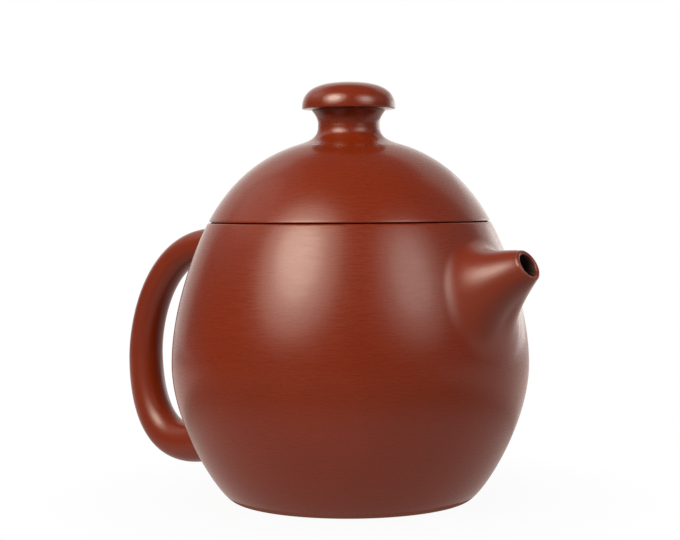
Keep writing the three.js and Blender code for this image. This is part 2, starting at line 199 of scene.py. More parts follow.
# Handle
handle_top_drop = 6.5
handle_top_pull = 25.2
handle_top_tilt = math.radians(11.7)
handle_span = 26.75
handle_bow_height = 30.5
handle_shoulder = 11.6
handle_heel = 13.3
handle_tail_height = 13.1
handle_tail_pull = 29.4
handle_tail_tilt = math.radians(26.3)
handle_top_radius = 4
handle_bow_radius = 4.22
handle_tail_radius = 5.42
handle_root_flare = 2.1
handle_root_reach = 7.5
handle_root_pull = 3.8
handle_root_spread = 1.7
handle_root_margin = 0.5

# Heights that follow
rim_height = seam_height - seam_gap / 2
lid_base = seam_height + seam_gap / 2
seat_height = rim_height + seat_clearance
floor_top = floor_recess + floor_thickness
disc_radius = foot_radius - standing_width
mouth_radius = seam_radius - seat_width
flange_radius = mouth_radius - lid_clearance
flange_inner_radius = flange_radius - flange_wall
spout_root_height = seam_height - spout_drop - spout_root_drop
handle_top_height = seam_height - handle_top_drop


# Curves in the plane of (radius, height) and in space

def bezier(points, count, start=0.0, end=1.0):
    """Points of a cubic curve, evenly spaced in its parameter."""
    p = np.array(points, float)
    t = np.linspace(start, end, count + 1)[:, None]
    s = 1 - t
    return s**3 * p[0] + 3 * s * s * t * p[1] + 3 * s * t * t * p[2] + t**3 * p[3]


def bezier_tangents(points, count, start=0.0, end=1.0):
    p = np.array(points, float)
    t = np.linspace(start, end, count + 1)[:, None]
    s = 1 - t
    run = s * s * (p[1] - p[0]) + 2 * s * t * (p[2] - p[1]) + t * t * (p[3] - p[2])
    return run / np.linalg.norm(run, axis=1)[:, None]


def inset(points, tangents, depth):
    """A profile moved square to itself, towards the inside."""
    return points - np.stack([tangents[:, 1], -tangents[:, 0]], axis=1) * depth


def corner(start, tip, end, count=5):
    """Rounded corner from start to end, drawn towards tip."""
    t = np.linspace(0, 1, count + 1)[:, None]
    start, tip, end = (np.array(p, float) for p in (start, tip, end))
    return (1 - t) ** 2 * start + 2 * t * (1 - t) * tip + t * t * end


def line(start, end, count=1):
    t = np.linspace(0, 1, count + 1)[:, None]
    start, end = np.array(start, float), np.array(end, float)
    return start + (end - start) * t


def chain(*stretches):
    """Stretches of a profile, one after the other, without doubled points."""
    points = np.concatenate([np.atleast_2d(np.array(s, float)) for s in stretches])
    keep = [0]
    for index in range(1, len(points)):
        if np.linalg.norm(points[index] - points[keep[-1]]) > SAME_PLACE:
            keep.append(index)
    return points[keep]


def lengths_along(points):
    """Lengths from the first of a line of points to each of them."""
    steps = np.linalg.norm(np.diff(points, axis=0), axis=1)
    return np.concatenate([[0], np.cumsum(steps)])


lower_curve = [
    (foot_radius, 0),
    (foot_radius + foot_sweep, 0),
    (belly_radius, belly_height - lower_fullness),
    (belly_radius, belly_height),
]
upper_curve = [
    (belly_radius, belly_height),
    (belly_radius, belly_height + upper_fullness),
    (seam_radius + seam_lean * shoulder_reach, seam_height - shoulder_reach),
    (seam_radius, seam_height),
]
dome_curve = [
    (seam_radius, seam_height),
    (seam_radius - seam_lean * dome_reach, seam_height + dome_reach),
    (dome_crown, seam_height + dome_rise),
    (0, seam_height + dome_rise),
]

skin_points = np.vstack([bezier(lower_curve, CURVE_STEPS), bezier(upper_curve, CURVE_STEPS)[1:]])
skin_tangents = np.vstack([
    bezier_tangents(lower_curve, CURVE_STEPS),
    bezier_tangents(upper_curve, CURVE_STEPS)[1:],
])


def skin_radius(height):
    return np.interp(height, skin_points[:, 1], skin_points[:, 0])


def on_skin(azimuth, height, outside=0.0):
    """Points on the skin of the pot, or at a distance outside it."""
    radius = skin_radius(height)
    run = np.interp(height, skin_points[:, 1], skin_tangents[:, 0])
    rise = np.interp(height, skin_points[:, 1], skin_tangents[:, 1])
    size = np.hypot(run, rise)
    reach = radius + rise / size * outside
    return np.stack(
        [reach * np.cos(azimuth), reach * np.sin(azimuth), height - run / size * outside],
        axis=-1,
    )


def along_skin(azimuth, height, arc, rise):
    """Unit directions along the skin, away from a root's centre."""
    further = 1.02
    here = on_skin(azimuth + arc, height + rise)
    there = on_skin(azimuth + arc * further, height + rise * further)
    return (there - here) / np.linalg.norm(there - here, axis=1)[:, None]


# Meshes

noise.seed_set(unevenness_seed)


def uneven(point):
    """The unevenness of hand work, which leaves the foot flat."""
    share = min(1, max(0, point[2] / settle_height))
    return noise.noise_vector(Vector(point) / unevenness_length) * unevenness * share


def mesh_piece(name, points, faces, burnish):
    """A smooth mesh of points in millimetres. burnish holds the coordinates that the tool marks follow."""
    mesh = bpy.data.meshes.new(name)
    moved = [(Vector(p) + uneven(p)) * MM for p in points]
    mesh.from_pydata(moved, [], faces)
    layer = mesh.attributes.new("burnish", "FLOAT_VECTOR", "POINT")
    layer.data.foreach_set("vector", np.array(burnish, np.float32).ravel())
    edit = bmesh.new()
    edit.from_mesh(mesh)
    bmesh.ops.recalc_face_normals(edit, faces=edit.faces)
    edit.to_mesh(mesh)
    edit.free()
    mesh.shade_smooth()
    piece = bpy.data.objects.new(name, mesh)
    bpy.context.scene.collection.objects.link(piece)
    return piece


def lathe(name, profile, sides=ROUND_SIDES):
    """A profile of (radius, height) turned round the axis. It closes on itself or ends on the axis."""
    lengths = lengths_along(profile)
    on_axis = profile[:, 0] < ON_AXIS
    open_profile = on_axis[0] and on_axis[-1]
    angles = 2 * np.pi * np.arange(sides) / sides
    points, burnish, rows = [], [], []
    for (radius, height), length, single in zip(profile, lengths, on_axis):
        rows.append((len(points), single))
        for angle in angles[:1] if single else angles:
            around = (math.cos(angle), math.sin(angle))
            points.append((radius * around[0], radius * around[1], height))
            burnish.append((around[0] * belly_radius, around[1] * belly_radius, length))
    faces = []
    count = len(rows) - 1 if open_profile else len(rows)
    for row in range(count):
        (first, first_single), (second, second_single) = rows[row], rows[(row + 1) % len(rows)]
        for side in range(sides):
            turn = (side + 1) % sides
            if first_single and second_single:
                continue
            if first_single:
                faces.append((first, second + turn, second + side))
            elif second_single:
                faces.append((first + side, first + turn, second))
            else:
                faces.append((first + side, first + turn, second + turn, second + side))
    return mesh_piece(name, points, faces, burnish)


def loft(name, rings, burnish, caps=None):
    """Rings of points joined in order. Without caps the last ring joins the first one."""
    count, sides = rings.shape[:2]
    points = rings.reshape(-1, 3).tolist()
    marks = burnish.reshape(-1, 3).tolist()
    faces = []
    for ring in range(count - 1 if caps else count):
        after = (ring + 1) % count
        for side in range(sides):
            turn = (side + 1) % sides
            a, b = ring * sides, after * sides
            faces.append((a + side, a + turn, b + turn, b + side))
    if caps:
        for start, cap in ((0, caps[0]), ((count - 1) * sides, caps[1])):
            points.append(tuple(cap))
            marks.append(marks[start])
            for side in range(sides):
                faces.append((len(points) - 1, start + side, start + (side + 1) % sides))
    return mesh_piece(name, points, faces, marks)


def cubic_strip(start, start_run, end, end_run, steps):
    """Rings between two rings of points, leaving along one direction and landing along another."""
    t = np.linspace(0, 1, steps + 1)[:, None, None]
    s = 1 - t
    pull_a, pull_b = start + start_run, end - end_run
    return s**3 * start + 3 * s * s * t * pull_a + 3 * s * t * t * pull_b + t**3 * end


# Body of the pot

def body_profile():
    outer = np.vstack([bezier(lower_curve, PROFILE_STEPS), bezier(upper_curve, PROFILE_STEPS)[1:]])
    foot = corner(
        (foot_radius - foot_round, 0),
        (foot_radius + foot_round, 0),
        outer[FOOT_STEPS],
        EDGE_STEPS,
    )
    top = outer[outer[:, 1] < rim_height - rim_round]
    edge_radius = np.interp(rim_height, outer[:, 1], outer[:, 0])
    rim = corner(top[-1], (edge_radius, rim_height), (edge_radius - rim_round, rim_height), EDGE_STEPS)
    inner = inset(skin_points, skin_tangents, body_wall)[::INNER_STRIDE]
    inner = inner[inner[:, 1] < rim_height - edge_support][::-1]
    wall = inner[inner[:, 1] > floor_top + floor_cove]
    cove = corner(
        wall[-1],
        (wall[-1][0] - floor_cove * cove_share, floor_top),
        (disc_radius, floor_top),
        COVE_STEPS,
    )
    return chain(
        (disc_radius, 0),
        (foot_radius - foot_round - edge_support, 0),
        foot,
        top[FOOT_STEPS + 1:],
        rim,
        (edge_radius - rim_round - edge_support, rim_height),
        (wall[0][0] - wall_step, rim_height),
        wall,
        cove,
        (disc_radius, floor_recess),
    )


# Spout

spout_axis = np.array([math.cos(spout_tilt), 0, math.sin(spout_tilt)])
spout_up = np.array([-math.sin(spout_tilt), 0, math.cos(spout_tilt)])
across_pot = np.array([0.0, 1.0, 0.0])
spout_foot = on_skin(0.0, seam_height - spout_drop)
spout_mouth = spout_foot + spout_axis * spout_length


def round_spout(values, turns):
    """Values given from the top to the underside, blended smoothly round the spout."""
    waves = np.arange(len(values))
    steps = np.pi * waves / (len(values) - 1)
    weights = np.linalg.solve(np.cos(np.outer(steps, waves)), np.array(values, float))
    return np.cos(np.outer(turns, waves)) @ weights


def outlet(directions, radius, outside):
    """Where lines beside the spout's axis come out of the skin."""
    side = spout_foot + directions * radius
    near = np.full(len(directions), -spout_length)
    far = -near
    for _ in range(HALVINGS):
        middle = (near + far) / 2
        points = side + middle[:, None] * spout_axis
        shell = on_skin(np.arctan2(points[:, 1], points[:, 0]), points[:, 2], outside)
        inside = np.hypot(points[:, 0], points[:, 1]) < np.hypot(shell[:, 0], shell[:, 1])
        near, far = np.where(inside, middle, near), np.where(inside, far, middle)
    return side + near[:, None] * spout_axis


def spout_ground(turns):
    """Where the root's edge lies on the skin: how far up, and how far round the pot."""
    reach = round_spout(spout_reach, turns)
    return reach * np.cos(turns), reach * np.sin(turns) / skin_radius(spout_root_height)


def spout_outside(turns, directions, rise, arc):
    """Rings from the skirt under the skin out to the rim."""
    root = on_skin(arc, spout_root_height + rise)
    skirt = on_skin(arc * skirt_share, spout_root_height + rise * skirt_share, -skirt_depth)
    rim = spout_mouth + directions * spout_rim_radius
    flare = round_spout(spout_flare, turns)[:, None]
    rim_run = directions * np.sin(flare) - spout_axis * np.cos(flare)
    landing = along_skin(0.0, spout_root_height, arc, rise)
    cone = cubic_strip(
        rim,
        rim_run * round_spout(spout_cone, turns)[:, None],
        root,
        landing * round_spout(spout_root, turns)[:, None],
        SPOUT_STEPS,
    )
    return [skirt, *cone[::-1]]


def spout_lip_rings(directions):
    """Rings round the lip, from the rim into the bore."""
    middle = (spout_rim_radius + spout_bore_radius) / 2
    half = (spout_rim_radius - spout_bore_radius) / 2
    return [
        spout_mouth + spout_axis * spout_lip * math.sin(a) + directions * (middle + half * math.cos(a))
        for a in np.linspace(0, np.pi, LIP_STEPS + 1)[1:]
    ]


def spout_inside(directions, start, rise, arc):
    """Rings down the bore, and under the skin back to the skirt."""
    end = outlet(directions, spout_root_bore, -underside_depth)
    bore = [start + (end - start) * share for share in np.linspace(0, 1, BORE_STEPS + 1)[1:]]
    end_rise = end[:, 2] - spout_root_height
    end_arc = np.arctan2(end[:, 1], end[:, 0])
    under = [
        on_skin(
            end_arc + (arc - end_arc) * share,
            spout_root_height + end_rise + (rise - end_rise) * share,
            -underside_depth,
        )
        for share in under_shares
    ]
    return [*bore, *under]


def marks_along(rings, turns, radius):
    """Coordinates for tool marks that run along a piece."""
    steps = np.linalg.norm(np.diff(rings, axis=0), axis=2).mean(1)
    marks = np.zeros_like(rings)
    marks[..., 0] = np.cos(turns) * radius
    marks[..., 1] = np.sin(turns) * radius
    marks[..., 2] = np.concatenate([[0], np.cumsum(steps)])[:, None]
    return marks


def make_spout():
    """The spout, and how many of its faces lie outside the bore."""
    turns = 2 * np.pi * np.arange(SPOUT_SIDES) / SPOUT_SIDES
    directions = np.cos(turns)[:, None] * spout_up + np.sin(turns)[:, None] * across_pot
    rise, arc = spout_ground(turns)
    outside = spout_outside(turns, directions, rise, arc)
    lip = spout_lip_rings(directions)
    inside = spout_inside(directions, lip[-1], rise, arc)
    rings = np.stack([*outside, *lip, *inside])
    outer_faces = (len(outside) - 1 + len(lip)) * SPOUT_SIDES
    return loft("spout_cone", rings, marks_along(rings, turns, spout_root_bore)), outer_faces


# Handle

def handle_curves():
    reach = belly_radius + handle_span
    top_radius = skin_radius(handle_top_height)
    tail_radius = skin_radius(handle_tail_height)
    bow = (-reach, 0, handle_bow_height)
    upper = [
        (-top_radius, 0, handle_top_height),
        (
            -top_radius - handle_top_pull * math.cos(handle_top_tilt),
            0,
            handle_top_height + handle_top_pull * math.sin(handle_top_tilt),
        ),
        (-reach, 0, handle_bow_height + handle_shoulder),
        bow,
    ]
    lower = [
        bow,
        (-reach, 0, handle_bow_height - handle_heel),
        (
            -tail_radius - handle_tail_pull * math.cos(handle_tail_tilt),
            0,
            handle_tail_height - handle_tail_pull * math.sin(handle_tail_tilt),
        ),
        (-tail_radius, 0, handle_tail_height),
    ]
    return upper, lower


def handle_radius(along):
    rest = 1 - along
    return (
        handle_top_radius * rest**2
        + handle_bow_radius * 2 * rest * along
        + handle_tail_radius * along**2
    )


def parameter_at(curve, length):
    """Parameter of a curve at a length from its start, or from its end where that is negative."""
    lengths = lengths_along(bezier(curve, CURVE_STEPS))
    if length < 0:
        length += lengths[-1]
    return float(np.interp(length, lengths, np.linspace(0, 1, CURVE_STEPS + 1)))


def handle_root(ring, run, height, radius, side, turns):
    """Rings from the limb down to the skin and under it."""
    rise = side * radius * np.cos(turns)
    room = (rim_height - handle_root_margin - height) / skirt_share
    rise = np.where(rise > 0, rise * min(1, room / radius), rise)
    arc = -radius * np.sin(turns) / skin_radius(height)
    root = on_skin(np.pi + arc, height + rise)
    landing = along_skin(np.pi, height, arc, rise) * handle_root_spread
    strip = cubic_strip(ring, run * handle_root_pull, root, landing, ROOT_STEPS)
    skirt = on_skin(np.pi + arc * skirt_share, height + rise * skirt_share, -skirt_depth)
    return np.concatenate([strip[1:], skirt[None]])


def handle_limb(turns):
    """Rings of the stretch between the roots, and its direction at each ring."""
    upper, lower = handle_curves()
    top_t = parameter_at(upper, handle_root_reach)
    tail_t = parameter_at(lower, -handle_root_reach)
    centres = np.vstack([bezier(upper, LIMB_STEPS, top_t, 1), bezier(lower, LIMB_STEPS, 0, tail_t)[1:]])
    runs = np.vstack([
        bezier_tangents(upper, LIMB_STEPS, top_t, 1),
        bezier_tangents(lower, LIMB_STEPS, 0, tail_t)[1:],
    ])
    upper_shares = np.linspace(top_t, 1, LIMB_STEPS + 1) / 2
    lower_shares = (1 + np.linspace(0, tail_t, LIMB_STEPS + 1)[1:]) / 2
    radius = handle_radius(np.concatenate([upper_shares, lower_shares]))[:, None, None]
    outwards = np.stack([runs[:, 2], np.zeros(len(runs)), -runs[:, 0]], axis=1)
    rings = centres[:, None] + radius * (
        np.cos(turns)[None, :, None] * outwards[:, None]
        + np.sin(turns)[None, :, None] * across_pot
    )
    return rings, runs


def make_handle():
    turns = 2 * np.pi * np.arange(HANDLE_SIDES) / HANDLE_SIDES
    limb, runs = handle_limb(turns)
    top_radius = handle_top_radius + handle_root_flare
    tail_radius = handle_tail_radius + handle_root_flare
    top = handle_root(limb[0], -runs[0], handle_top_height, top_radius, 1, turns)
    tail = handle_root(limb[-1], runs[-1], handle_tail_height, tail_radius, -1, turns)
    rings = np.concatenate([top[::-1], limb, tail])
    caps = (
        on_skin(np.pi, handle_top_height, -underside_depth),
        on_skin(np.pi, handle_tail_height, -underside_depth),
    )
    return loft("handle_ear", rings, marks_along(rings, turns, handle_bow_radius), caps)


# Floor, mouth ring and strainer

def base_profile():
    edge = disc_radius - disc_edge
    return chain(
        (0, floor_recess),
        line((disc_middle, floor_recess), (edge - disc_edge_support, floor_recess), 12),
        corner(
            (edge, floor_recess),
            (disc_radius - disc_edge_run, floor_recess),
            (disc_radius, floor_recess - disc_edge_drop),
            EDGE_STEPS,
        ),
        (disc_radius + disc_overlap, floor_recess),
        (disc_radius + disc_overlap, floor_top),
        (0, floor_top),
    )


def mouth_ring_profile():
    inner = inset(skin_points, skin_tangents, body_wall - mouth_ring_overlap)[::INNER_STRIDE]
    low = rim_height - mouth_ring_depth
    outer = inner[(inner[:, 1] > low) & (inner[:, 1] < rim_height - mouth_ring_start)]
    top_radius = outer[-1][0]
    inner_edge = mouth_radius + mouth_round
    return chain(
        outer,
        (top_radius, rim_height),
        line((top_radius - mouth_ring_edge, rim_height), (inner_edge + edge_support, rim_height), 3),
        corner(
            (inner_edge, rim_height),
            (mouth_radius, rim_height),
            (mouth_radius, rim_height - mouth_round),
            EDGE_STEPS,
        ),
        line(
            (mouth_radius, rim_height - mouth_round - edge_support),
            (mouth_radius, low + mouth_ring_taper),
            4,
        ),
    )


def strainer_profile(outer, inner):
    """A dome of even wall on a short collar, from the tip outside to the tip inside."""
    angles = np.linspace(0, np.pi / 2, STRAINER_STEPS + 1)
    hollow_rise = strainer_bulge - strainer_wall
    dome = np.stack([outer * np.cos(angles), strainer_collar + strainer_bulge * np.sin(angles)], axis=1)
    hollow = np.stack([inner * np.cos(angles), strainer_collar + hollow_rise * np.sin(angles)], axis=1)
    dome[-1, 0] = hollow[-1, 0] = 0
    return np.vstack([dome[::-1], [(outer, 0)], [(inner, 0)], hollow])


def pierce_directions():
    """The directions of the strainer's holes, ring by ring."""
    for ring, count in enumerate(pierce_rings):
        tilt = pierce_step * ring
        for hole in range(count):
            around = 2 * math.pi * (hole + ring / 2) / count
            yield Vector((
                math.sin(tilt) * math.cos(around),
                math.sin(tilt) * math.sin(around),
                math.cos(tilt),
            ))


def turned_to(direction):
    """The turn that takes the axis of the pot to a direction."""
    return Vector((0, 0, 1)).rotation_difference(Vector(direction)).to_matrix().to_4x4()


def make_strainer():
    outer = strainer_hole_radius - strainer_slip
    profile = strainer_profile(outer, outer - strainer_wall)
    piece = lathe("strainer_dome", profile, STRAINER_SIDES)
    pins = bmesh.new()
    for direction in pierce_directions():
        turn = direction.to_track_quat("Z", "Y").to_matrix().to_4x4()
        base = Vector((0, 0, strainer_collar)) + direction * outer * pin_share
        bmesh.ops.create_cone(
            pins,
            segments=PIN_SIDES,
            radius1=pierce_radius * MM,
            radius2=pierce_radius * MM,
            depth=outer * MM,
            cap_ends=True,
            matrix=Matrix.Translation(base * MM) @ turn,
        )
    cut_with(piece, pins)
    seat = Vector(spout_foot - spout_axis * strainer_inset) * MM
    piece.data.transform(Matrix.Translation(seat) @ turned_to(-spout_axis))
    return piece


def cut_with(piece, cutter):
    """Takes a bmesh away from a piece for good, and keeps the cut edges sharp."""
    mesh = bpy.data.meshes.new("cutter")
    cutter.to_mesh(mesh)
    cutter.free()
    tool = bpy.data.objects.new("cutter", mesh)
    bpy.context.scene.collection.objects.link(tool)
    modifier = piece.modifiers.new("cut", "BOOLEAN")
    modifier.operation = "DIFFERENCE"
    modifier.solver = "EXACT"
    modifier.object = tool
    bpy.context.view_layer.update()
    graph = bpy.context.evaluated_depsgraph_get()
    result = bpy.data.meshes.new_from_object(piece.evaluated_get(graph))
    piece.modifiers.clear()
    piece.data = result
    result.set_sharp_from_angle(angle=crease)
    bpy.data.objects.remove(tool)


def cut_strainer_hole(piece):
    drill = bmesh.new()
    bmesh.ops.create_cone(
        drill,
        segments=DRILL_SIDES,
        radius1=strainer_hole_radius * MM,
        radius2=strainer_hole_radius * MM,
        depth=(strainer_bulge + spout_length) * MM,
        cap_ends=True,
        matrix=Matrix.Translation(Vector(spout_foot) * MM) @ turned_to(spout_axis),
    )
    cut_with(piece, drill)


# Lid and knob

dome_points = bezier(dome_curve, 2 * CURVE_STEPS)
dome_tangents = bezier_tangents(dome_curve, 2 * CURVE_STEPS)
neck_base = float(np.interp(-neck_foot_radius, -dome_points[:, 0], dome_points[:, 1]))
neck_top = neck_base + knob_joint + neck_rise
cap_base = neck_top + knob_joint / 2


def lid_profile():
    outer = dome_points[::INNER_STRIDE]
    bare = outer[:, 0] > neck_foot_radius - knob_cover
    skin = outer[(outer[:, 1] > lid_base + lid_round) & bare]
    edge_radius = float(np.interp(lid_base, dome_points[:, 1], dome_points[:, 0]))
    slot_radius = edge_radius - slot_depth
    inner = inset(dome_points, dome_tangents, lid_wall)[::INNER_STRIDE]
    ceiling = neck_base - lid_wall
    hollow = inner[(inner[:, 1] < ceiling) & (inner[:, 1] > lid_base + seat_plate)][::-1]
    return chain(
        (flange_inner_radius, lid_base),
        (flange_radius, lid_base),
        line((flange_radius, seat_height), (slot_radius, seat_height), 4),
        (slot_radius, lid_base),
        corner((edge_radius - lid_round, lid_base), (edge_radius, lid_base), skin[0], EDGE_STEPS),
        skin,
        (vent_radius, skin[-1][1]),
        line((vent_radius, skin[-1][1]), (vent_radius, ceiling), 3),
        (vent_radius + vent_step, ceiling),
        hollow,
        (flange_inner_radius, lid_base + seat_plate),
    )


def flange_profile():
    bottom = lid_base - flange_depth
    edge = bottom + flange_edge
    return chain(
        line((flange_inner_radius, lid_base), (flange_inner_radius, edge + flange_edge_support), 4),
        corner(
            (flange_inner_radius, edge),
            (flange_inner_radius, bottom),
            (flange_inner_radius + flange_edge, bottom),
            4,
        ),
        corner(
            (flange_radius - flange_bevel, bottom),
            (flange_radius, bottom),
            (flange_radius, bottom + flange_bevel),
        ),
        line((flange_radius, bottom + flange_bevel + edge_support), (flange_radius, lid_base), 4),
    )


def neck_profile():
    index = int(np.argmax(dome_points[:, 0] < neck_foot_radius))
    slope = dome_tangents[index]
    waist = neck_base + knob_joint + waist_rise
    foot = bezier(
        [
            (neck_foot_radius, neck_base),
            (neck_foot_radius - neck_foot_pull, neck_base - neck_foot_pull * slope[1] / slope[0]),
            (waist_radius, waist - waist_pull_below),
            (waist_radius, waist),
        ],
        WAIST_STEPS,
    )
    flare = bezier(
        [
            (waist_radius, waist),
            (waist_radius, waist + waist_pull_above),
            (neck_rim_radius - neck_rim_pull, neck_top - neck_rim_pull * neck_rim_lean),
            (neck_rim_radius, neck_top),
        ],
        FLARE_STEPS,
    )
    skirt = np.array([neck_foot_radius, neck_base - neck_skirt_sink]) - slope * neck_skirt_reach
    low = skirt[1] - neck_skirt_depth
    high = cap_base + joint_overlap
    return chain(
        (vent_radius, low),
        (skirt[0], low),
        skirt,
        foot,
        flare,
        (neck_rim_radius, high),
        (vent_radius, high),
    )


def cap_profile():
    base = neck_top + knob_joint
    top = base + cap_rise
    side = bezier(
        [
            (cap_radius, base + cap_edge),
            (cap_radius, base + cap_side_pull),
            (cap_crown, top),
            (0, top),
        ],
        CAP_STEPS,
    )
    side = side[side[:, 0] > vent_radius + vent_lip]
    crown = side[-1][1]
    return chain(
        (vent_radius, cap_base),
        line((vent_radius + cap_seat_inset, cap_base), (neck_rim_radius + cap_seat_margin, cap_base), 3),
        line(
            (neck_rim_radius + cap_undercut, cap_base + joint_overlap),
            (cap_radius - cap_edge - edge_support, base),
            2,
        ),
        corner((cap_radius - cap_edge, base), (cap_radius, base), (cap_radius, base + cap_edge), EDGE_STEPS),
        side,
        corner(side[-1], (vent_radius, crown), (vent_radius, crown - vent_lip), EDGE_STEPS),
        line(
            (vent_radius, crown - vent_lip - vent_support),
            (vent_radius, cap_base + cap_seat_inset),
            4,
        ),
    )


# Clay: colours, and noises. Their scale is per metre, or 1 where the coordinates are scaled already

BURNISHED = (0.192, 0.0200, 0.0022)
BURNISHED_DARK = (0.172, 0.0178, 0.0019)
# Inside the spout the clay is darker and greyer than elsewhere: painted shade in the bore
BORE_PAINTED_SHADE = (0.085, 0.042, 0.032)
BORE_PAINTED_SHADE_DARK = (0.070, 0.034, 0.026)
SCRAPED = (0.235, 0.0560, 0.0270)
SCRAPED_DARK = (0.200, 0.0440, 0.0200)

PATCH_NOISE = {"Scale": 55, "Detail": 3, "Roughness": 0.55}
GRAIN_NOISE = {"Scale": 3600, "Detail": 2, "Roughness": 0.6}
SPECK_NOISE = {"Scale": 1500, "Detail": 1, "Roughness": 0.5}
MARK_NOISE = {"Scale": 1, "Detail": 3, "Roughness": 0.6}
SWEEP_NOISE = {"Scale": 1, "Detail": 1, "Roughness": 0.5}
noise_range = (0.25, 0.75)
speck_shares = (-0.2, 0.3)
speck_shade_share = 0.82
bump_strength = 0.5

burnish_coat = 1.0
coat_ior = 1.12
coat_roughness = 0.15
even_gloss = (0.5, 0.5)
spout_gloss = (0.5, 0.72)
cap_gloss = (0.65, 0.65)
spout_softer = 0.1

# Lengths from a piece's root between which its gloss changes, in millimetres
tip_from = 1.5
tip_to = 8

# Tool marks: how often they repeat across and along a piece, per millimetre
turned = {"marks": (0.22, 0.22, 2.6), "sweeps": (0.03, 0.03, 0.9)}
lengthwise = {"marks": (1.6, 1.6, 0.2), "sweeps": (0.7, 0.7, 0.04)}

# Depths of the relief, in metres
polished = {"grain": 0.000001, "marks": 0.000006, "sweeps": 0.000007}
handled = {"grain": 0.0000022, "marks": 0.000005, "sweeps": 0.000005}
gritty = {"grain": 0.00004, "marks": 0.00008, "sweeps": 0.0001}


def node(tree, kind, **settings):
    """A shader node with its properties set, or else its inputs of those names."""
    made = tree.nodes.new(kind)
    for name, value in settings.items():
        if hasattr(made, name):
            setattr(made, name, value)
        else:
            made.inputs[name.replace("_", " ")].default_value = value
    return made


def feed(tree, socket, value):
    """Links a value of another node to a socket, or sets a plain one."""
    if hasattr(value, "node"):
        tree.links.new(value, socket)
    else:
        socket.default_value = value


def noise_layer(tree, vector, settings):
    layer = node(tree, "ShaderNodeTexNoise", **settings)
    feed(tree, layer.inputs["Vector"], vector)
    return layer.outputs["Fac"]


def stretched(tree, vector, scales):
    """Coordinates with a scale of their own along each axis."""
    scaled = node(tree, "ShaderNodeVectorMath", operation="MULTIPLY")
    feed(tree, scaled.inputs[0], vector)
    feed(tree, scaled.inputs[1], scales)
    return scaled.outputs[0]


def maths(tree, operation, first, second):
    made = node(tree, "ShaderNodeMath", operation=operation)
    feed(tree, made.inputs[0], first)
    feed(tree, made.inputs[1], second)
    return made.outputs[0]


def spread(tree, value, source, target=(0, 1), kind="LINEAR"):
    """A value taken from one range to another, and held at its ends."""
    made = node(tree, "ShaderNodeMapRange", interpolation_type=kind)
    feed(tree, made.inputs["Value"], value)
    feed(tree, made.inputs["From Min"], source[0])
    feed(tree, made.inputs["From Max"], source[1])
    feed(tree, made.inputs["To Min"], target[0])
    feed(tree, made.inputs["To Max"], target[1])
    return made.outputs[0]


def ramp(tree, value, start, end):
    """0 up to a start, rising softly to 1 at an end."""
    return spread(tree, value, (start, end), kind="SMOOTHSTEP")


def blend_colour(tree, factor, first, second):
    mix = node(tree, "ShaderNodeMix", data_type="RGBA")
    feed(tree, mix.inputs["Factor"], factor)
    for socket, colour in ((mix.inputs[6], first), (mix.inputs[7], second)):
        feed(tree, socket, colour if hasattr(colour, "node") else (*colour, 1))
    return mix.outputs[2]


def bumped(tree, height, distance, below=None):
    bump = node(tree, "ShaderNodeBump", Distance=distance, Strength=bump_strength)
    feed(tree, bump.inputs["Height"], height)
    if below is not None:
        feed(tree, bump.inputs["Normal"], below)
    return bump.outputs["Normal"]


def clay_tone(tree, place, light, dark):
    """Faint patches between two tones, with fine darker specks."""
    patches = spread(tree, noise_layer(tree, place, PATCH_NOISE), noise_range)
    specks = spread(tree, noise_layer(tree, place, SPECK_NOISE), noise_range, speck_shares)
    shade = tuple(channel * speck_shade_share for channel in dark)
    return blend_colour(tree, specks, blend_colour(tree, patches, light, dark), shade)


def clay_relief(tree, place, along, marks, tool, depths):
    """Fine grain, the tool's marks and its broad sweeps, as bumps."""
    grain = noise_layer(tree, place, GRAIN_NOISE)
    sweeps = noise_layer(tree, stretched(tree, along, tool["sweeps"]), SWEEP_NOISE)
    normal = bumped(tree, grain, depths["grain"])
    normal = bumped(tree, marks, depths["marks"], normal)
    return bumped(tree, sweeps, depths["sweeps"], normal)


def clay(name, tones, roughness, tool, depths, coat=0.0, gloss=even_gloss, softer=0.0):
    """Fired clay. Away from a piece's root its gloss goes from the first value to the second, and its
    roughness grows."""
    material = bpy.data.materials.new(name)
    material.use_nodes = True
    tree = material.node_tree
    inputs = tree.nodes["Principled BSDF"].inputs
    place = node(tree, "ShaderNodeTexCoord").outputs["Object"]
    along = node(tree, "ShaderNodeAttribute", attribute_name="burnish").outputs["Vector"]
    marks = noise_layer(tree, stretched(tree, along, tool["marks"]), MARK_NOISE)
    length = node(tree, "ShaderNodeSeparateXYZ")
    feed(tree, length.inputs[0], along)
    far = ramp(tree, length.outputs["Z"], tip_from, tip_to)
    rubbed = spread(tree, marks, noise_range, roughness)
    feed(tree, inputs["Base Color"], clay_tone(tree, place, *tones))
    feed(tree, inputs["Roughness"], maths(tree, "ADD", maths(tree, "MULTIPLY", far, softer), rubbed))
    feed(tree, inputs["Specular IOR Level"], spread(tree, far, (0, 1), gloss))
    feed(tree, inputs["Normal"], clay_relief(tree, place, along, marks, tool, depths))
    feed(tree, inputs["Coat Weight"], coat)
    feed(tree, inputs["Coat IOR"], coat_ior)
    feed(tree, inputs["Coat Roughness"], coat_roughness)
    return material


red = (BURNISHED, BURNISHED_DARK)
burnished_turned = clay("burnished_turned", red, (0.23, 0.33), turned, polished, burnish_coat)
burnished_hand = clay("burnished_hand", red, (0.29, 0.36), lengthwise, handled, burnish_coat)
burnished_spout = clay(
    "burnished_spout", red, (0.25, 0.32), lengthwise, handled, burnish_coat, spout_gloss, spout_softer
)
burnished_cap = clay("burnished_cap", red, (0.19, 0.25), turned, handled, burnish_coat, cap_gloss)
